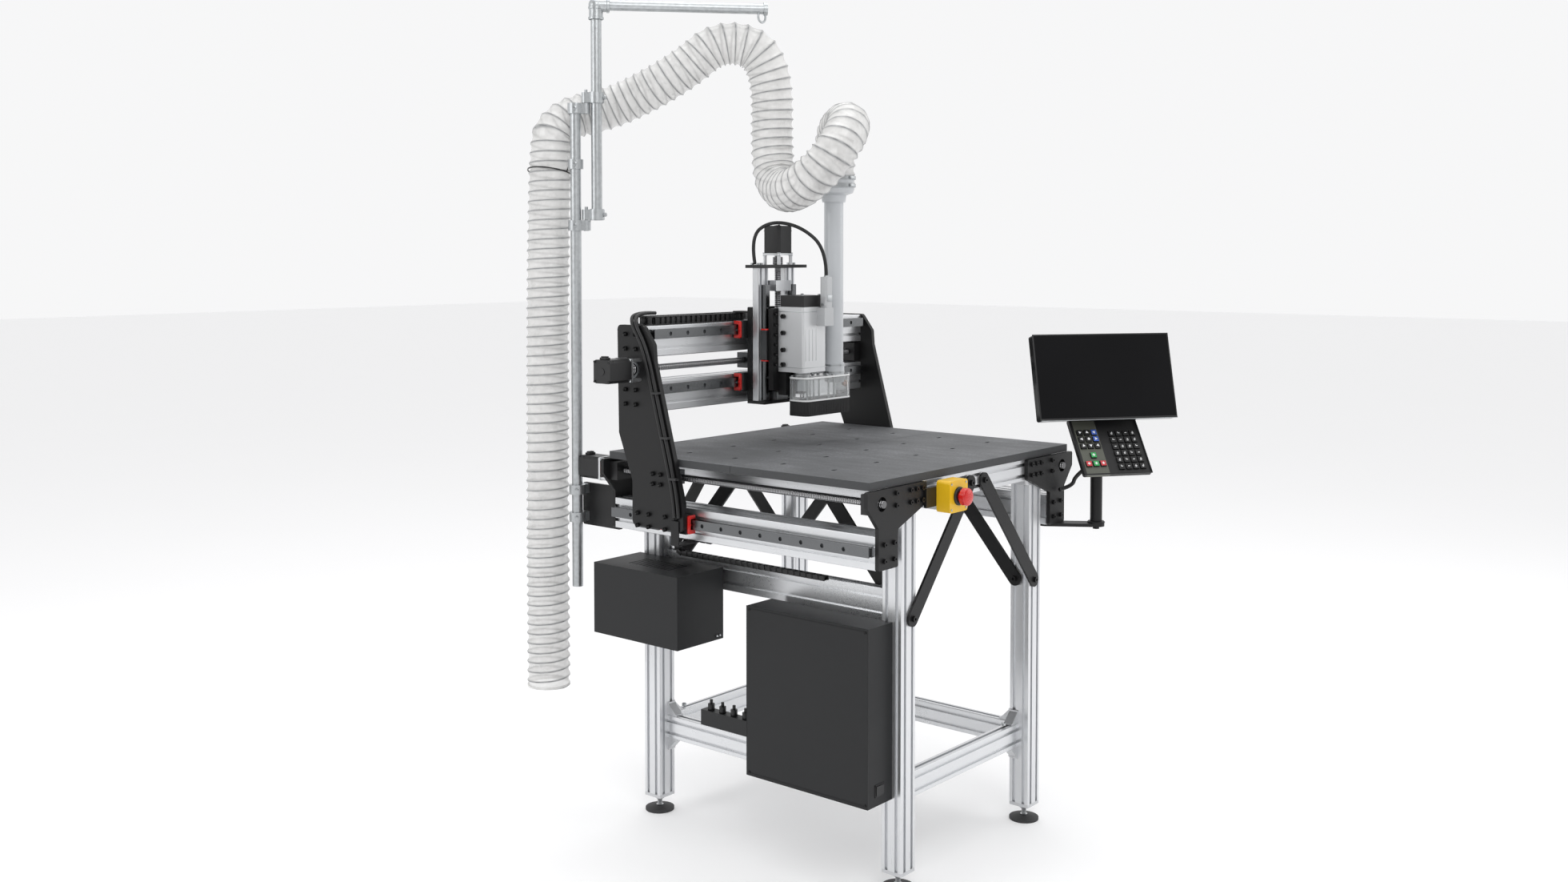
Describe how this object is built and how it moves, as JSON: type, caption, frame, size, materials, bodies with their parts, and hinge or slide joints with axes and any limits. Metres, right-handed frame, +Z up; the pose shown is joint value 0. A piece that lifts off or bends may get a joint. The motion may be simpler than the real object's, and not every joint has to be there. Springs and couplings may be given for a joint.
{
  "type": "cnc router",
  "caption": "Floor-standing three-axis router table with extruded frame, moving gantry, spindle with dust shoe, swivel operator station and overhead dust hose.",
  "frame": {"origin": "middle of the footprint on the floor, measured without the dust hose", "axes": "+X to the operator's right along the gantry, +Y from the operator to the rear, +Z up"},
  "size_m": [1.1268, 1.3341, 2.0635],
  "materials": {
    "anodised": "satin clear anodised extrusion",
    "cast_aluminium": "satin",
    "zinc": "zinc plated",
    "rail_steel": "ground steel",
    "bearing_steel": "ground steel with red end caps",
    "screw_steel": "bright steel",
    "black_powder_coat": "satin black powder coat",
    "black_screws": "black oxide",
    "motor_black": "satin black with aluminium flange",
    "charcoal_board": "matt charcoal fibreboard",
    "spindle_aluminium": "satin",
    "copper": "enamelled winding",
    "spindle_black": "matt",
    "clear_acrylic": "clear",
    "brush_bristle": "fibrous",
    "duct_plastic": "semi gloss",
    "hose_plastic": "translucent white with grey helix",
    "galvanised_pipe": "galvanised",
    "charcoal_box": "fine texture charcoal",
    "electronics": "matt",
    "switch_plastic": "gloss",
    "stop_yellow": "semi gloss",
    "stop_red": "semi gloss",
    "gloss_screen": "high gloss",
    "tray_black": "matt",
    "key_black": "satin",
    "carrier_plastic": "matt",
    "cable_black": "matt"
  },
  "bodies": {
    "frame": {"legs": "anodised", "leveling_feet": "zinc", "stretchers": "anodised", "frame_brackets": "cast_aluminium", "rail_beams": "anodised", "long_rails": "rail_steel", "corner_plates": "black_powder_coat", "bed_beams": "anodised", "spoilboard": "charcoal_board", "diagonal_braces": "black_powder_coat", "frame_screws": "black_screws", "long_axis_drives": "motor_black", "support_pole": "galvanised_pipe", "pole_clamps": "galvanised_pipe", "enclosure_shells": "charcoal_box", "enclosure_covers": "charcoal_box", "electronics": "electronics", "emergency_stop_box": "stop_yellow", "station_arm": "black_powder_coat", "long_cable_carrier": "carrier_plastic", "station_cable": "cable_black", "hose_riser": "hose_plastic"},
    "long_screw_left": {"long_screw_left": "screw_steel"},
    "long_screw_right": {"long_screw_right": "screw_steel"},
    "gantry": {"gantry_plates": "black_powder_coat", "gantry_beams": "anodised", "cross_rails": "rail_steel", "long_bearings": "bearing_steel", "cross_axis_drive": "motor_black", "cross_cable_carrier": "carrier_plastic", "gantry_cables": "cable_black", "hose_drop": "hose_plastic"},
    "cross_screw": {"cross_screw": "screw_steel"},
    "carriage": {"carriage_plate": "black_powder_coat", "cross_bearings": "bearing_steel", "z_frame": "anodised", "z_rails": "rail_steel", "z_motor": "motor_black", "spindle_cable": "cable_black", "hose_loop": "hose_plastic"},
    "z_screw": {"z_screw": "screw_steel"},
    "z_head": {"z_plate": "black_powder_coat", "z_bearings": "bearing_steel", "spindle_body": "spindle_aluminium", "spindle_winding": "copper", "spindle_fittings": "spindle_black", "dust_shoe": "clear_acrylic", "brush_skirt": "brush_bristle", "dust_duct": "duct_plastic", "hose_inlet": "hose_plastic"},
    "spindle_shaft": {"spindle_shaft": "screw_steel"},
    "boom": {"boom": "galvanised_pipe", "hose_span": "hose_plastic", "hose_crest": "hose_plastic"},
    "station": {"screen": "gloss_screen", "keypad_tray": "tray_black"},
    "control_keys": {"control_keys": "key_black"},
    "number_keys": {"number_keys": "key_black"},
    "emergency_stop_button": {"emergency_stop_button": "stop_red"},
    "rocker_switch": {"rocker_switch": "switch_plastic"}
  },
  "joints": [
    {"name": "y_axis", "type": "slide", "parent": "frame", "child": "gantry", "axis": [0, 1, 0], "range_m": [-0.515, 0.08], "deforming": ["hose_drop", "long_cable_carrier"]},
    {"name": "left_screw_turn", "type": "hinge", "parent": "frame", "child": "long_screw_left", "pos_m": [-0.40438, 0.0459, 0.884], "axis": [0, 1, 0], "range_deg": [-20000, 20000]},
    {"name": "right_screw_turn", "type": "hinge", "parent": "frame", "child": "long_screw_right", "pos_m": [0.36562, 0.0459, 0.884], "axis": [0, 1, 0], "range_deg": [-20000, 20000]},
    {"name": "x_axis", "type": "slide", "parent": "gantry", "child": "carriage", "axis": [1, 0, 0], "range_m": [-0.3, 0.33], "deforming": ["hose_loop", "cross_cable_carrier"]},
    {"name": "cross_screw_turn", "type": "hinge", "parent": "gantry", "child": "cross_screw", "pos_m": [-0.01938, 0.3379, 1.1425], "axis": [1, 0, 0], "range_deg": [-20000, 20000]},
    {"name": "z_axis", "type": "slide", "parent": "carriage", "child": "z_head", "axis": [0, 0, 1], "range_m": [-0.072, 0.038], "deforming": ["hose_inlet", "spindle_cable"]},
    {"name": "z_screw_turn", "type": "hinge", "parent": "carriage", "child": "z_screw", "pos_m": [-0.03638, 0.2394, 1.2], "axis": [0, 0, 1], "range_deg": [-6000, 6000]},
    {"name": "spindle_turn", "type": "hinge", "parent": "z_head", "child": "spindle_shaft", "pos_m": [-0.03638, 0.1594, 1.2], "axis": [0, 0, 1], "continuous": true},
    {"name": "boom_swing", "type": "hinge", "parent": "frame", "child": "boom", "pos_m": [-0.40238, 0.5634, 1.8], "axis": [0, 0, 1], "range_deg": [-30, 30], "deforming": ["hose_span", "hose_crest"]},
    {"name": "station_swivel", "type": "hinge", "parent": "frame", "child": "station", "pos_m": [0.41062, -0.4386, 0.9], "axis": [0, 0, 1], "range_deg": [-35, 60], "deforming": ["station_cable"]},
    {"name": "control_keys_press", "type": "slide", "parent": "station", "child": "control_keys", "axis": [0.4594, 0.6323, -0.6239], "range_m": [0, 0.002], "stiffness_N_per_m": 400},
    {"name": "number_keys_press", "type": "slide", "parent": "station", "child": "number_keys", "axis": [0.4594, 0.6323, -0.6239], "range_m": [0, 0.002], "stiffness_N_per_m": 400},
    {"name": "emergency_stop_press", "type": "slide", "parent": "frame", "child": "emergency_stop_button", "axis": [0, 1, 0], "range_m": [0, 0.004], "stiffness_N_per_m": 600},
    {"name": "rocker_tilt", "type": "hinge", "parent": "frame", "child": "rocker_switch", "pos_m": [-0.36538, -0.3281, 0.244], "axis": [1, 0, 0], "range_deg": [-4, 4]}
  ],
  "couplings": [
    {"joint": "left_screw_turn", "follows": "y_axis", "rad_per_m": 628.32},
    {"joint": "right_screw_turn", "follows": "y_axis", "rad_per_m": 628.32},
    {"joint": "cross_screw_turn", "follows": "x_axis", "rad_per_m": 628.32},
    {"joint": "z_screw_turn", "follows": "z_axis", "rad_per_m": 628.32}
  ]
}
